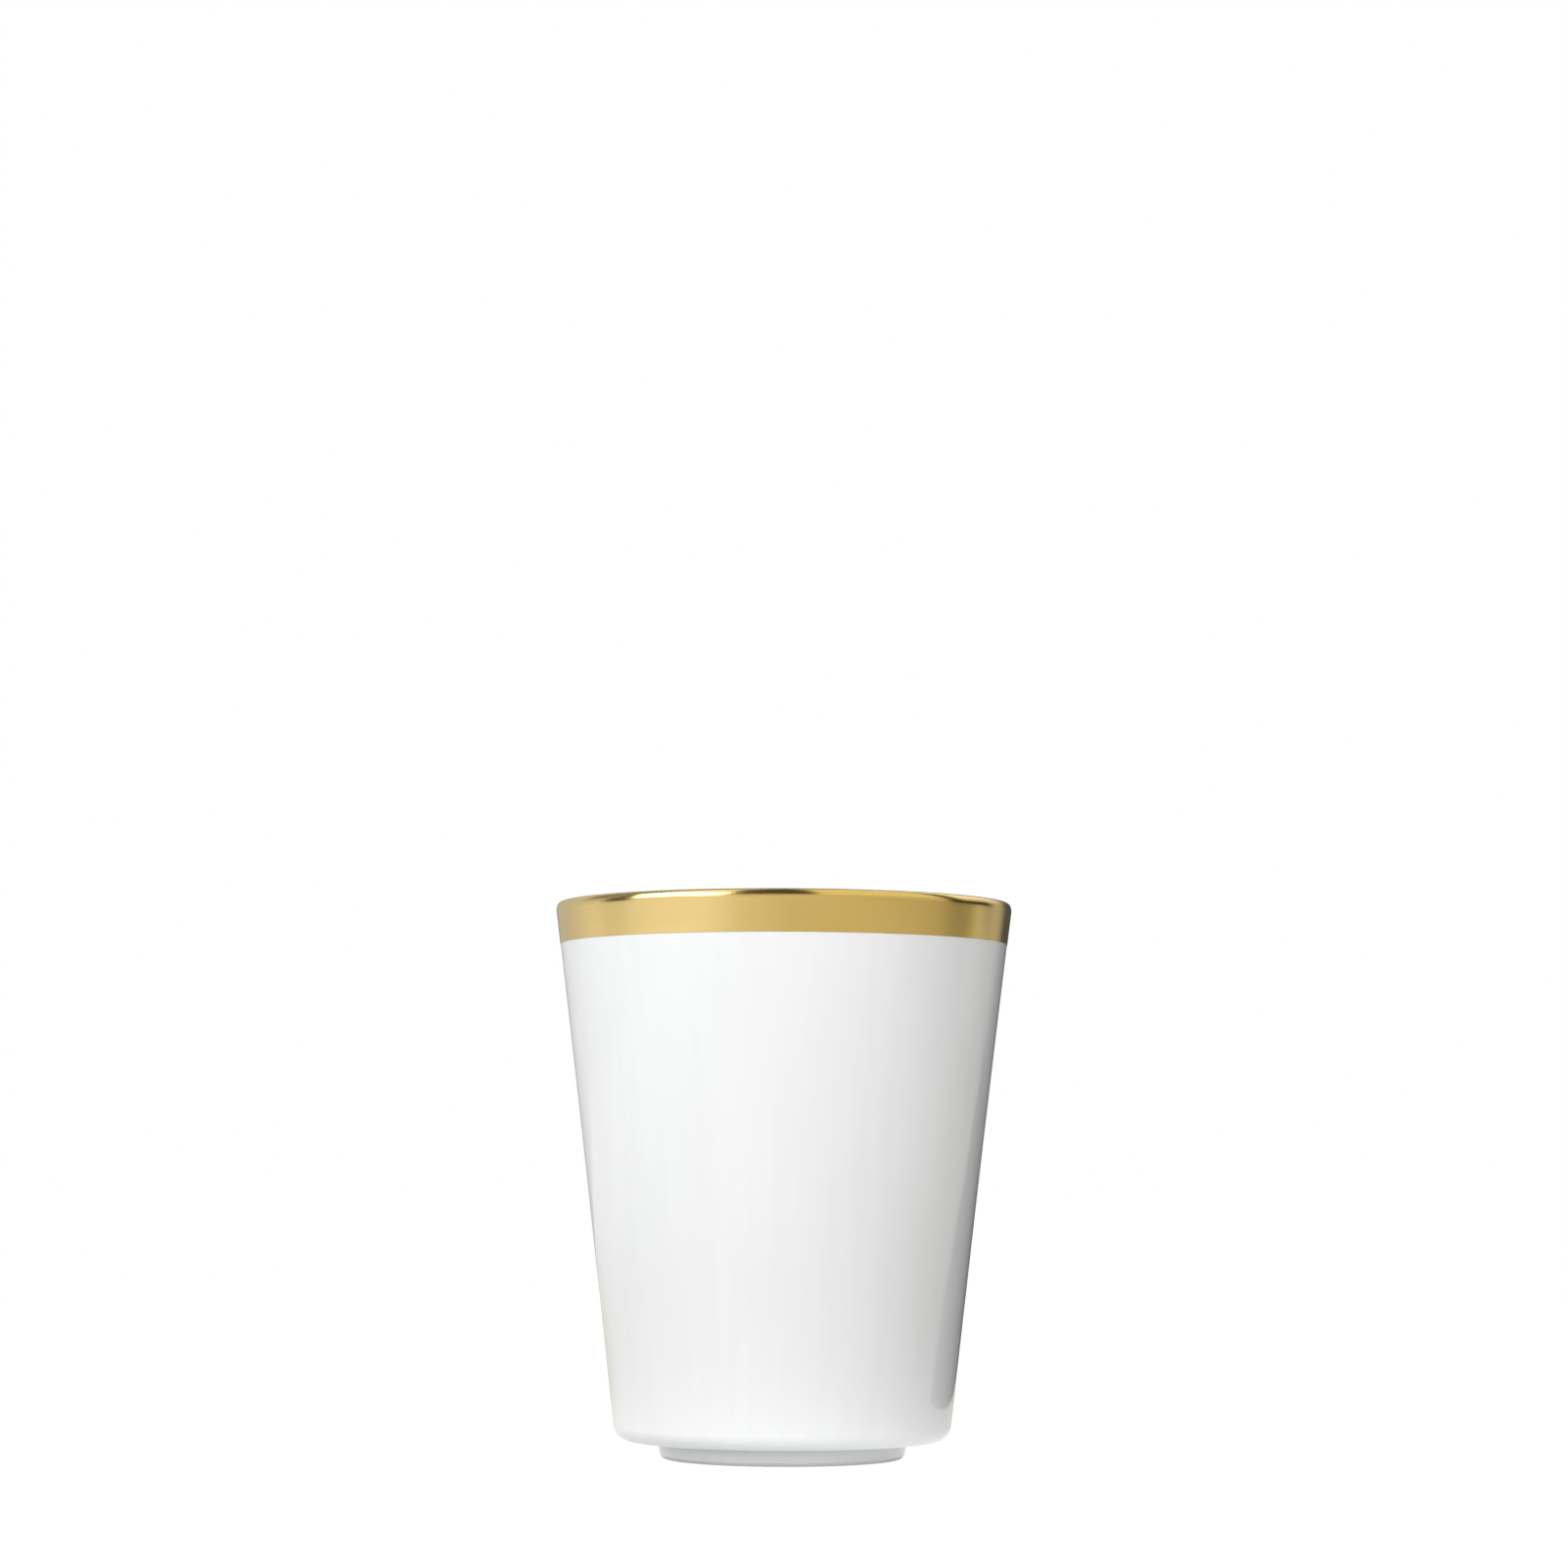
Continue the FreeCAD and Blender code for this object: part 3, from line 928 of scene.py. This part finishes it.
# %% Stack the tiers, and choose by the kind of ray
lower_tiers = mixed(tree, tier(LOW), tier(STANDING), rising(*STANDING_STARTS))
all_tiers = mixed(tree, lower_tiers, tier(OVERHEAD), rising(*OVERHEAD_STARTS))
path = add_node(tree, "ShaderNodeLightPath")
by_mirror = add_node(tree, "ShaderNodeMixShader")
by_camera = add_node(tree, "ShaderNodeMixShader")
join(tree,
     all_tiers, room.inputs["Color"],
     tier(FILL), fill.inputs["Color"],
     path.outputs["Is Glossy Ray"], by_mirror.inputs["Fac"],
     fill.outputs["Background"], by_mirror.inputs[1],
     room.outputs["Background"], by_mirror.inputs[2],
     path.outputs["Is Camera Ray"], by_camera.inputs["Fac"],
     by_mirror.outputs["Shader"], by_camera.inputs[1],
     white.outputs["Background"], by_camera.inputs[2],
     by_camera.outputs["Shader"], tree.nodes["World Output"].inputs["Surface"])
print("the world has", len(tree.nodes), "nodes")

# %% [markdown]
# ## The main light
#
# One large softbox stands in front and to the left, a little above the vase. It is the pale
# flash on the lip, which tells the eye that the gold is polished and the lip is round.

# %% Set up the softbox
def around_vase(azimuth, elevation, distance):
    """A place seen from the vase: degrees to the right of the camera, degrees up, metres."""
    turn, lift = math.radians(azimuth), math.radians(elevation)
    return Vector((math.sin(turn) * math.cos(lift), -math.cos(turn) * math.cos(lift),
                   math.sin(lift))) * distance


def softbox(name, azimuth, elevation, distance, width, height, radiance):
    """A rectangular light that looks at the vase and gives an even brightness."""
    centre = Vector((0, 0, HEIGHT / 2))
    place = centre + around_vase(azimuth, elevation, distance)
    bpy.ops.object.light_add(type="AREA", location=place)
    lamp = bpy.context.object
    lamp.name = lamp.data.name = name
    lamp.rotation_euler = (place - centre).to_track_quat("Z", "Y").to_euler()
    lamp.data.shape = "RECTANGLE"
    lamp.data.size = width
    lamp.data.size_y = height
    lamp.data.energy = radiance * math.pi * width * height
    lamp.visible_camera = lamp.visible_diffuse = False
    print(f"{name}: {lamp.data.energy:.2f} W")


softbox("key_softbox", -56, 28, 1.2, 1.0, 0.6, 3.0)

# %% [markdown]
# ## Camera
#
# A long lens from about a metre away keeps the vase's sides from bulging. The camera stands
# at half the vase's height and looks slightly up past it, so that the rim is seen a little
# from below and the foot a little from above, and it is tilted a hair to the left.

# %% Place the camera
CAMERA_PLACE = (-0.0001, -1.05, 0.0775)
CAMERA_PITCH = math.radians(5.751)
CAMERA_ROLL = math.radians(0.19)
bpy.ops.object.camera_add(location=CAMERA_PLACE)
camera = bpy.context.object
aim = Euler((math.pi / 2 + CAMERA_PITCH, 0, 0)).to_quaternion()
camera.rotation_euler = (aim @ Quaternion((0, 0, 1), CAMERA_ROLL)).to_euler()
camera.data.sensor_width = 36
camera.data.lens = 88.0
bpy.context.scene.camera = camera
bpy.context.scene.view_settings.view_transform = "Standard"
print(f"camera {-CAMERA_PLACE[1]:.2f} m away, lens {camera.data.lens:.0f} mm")
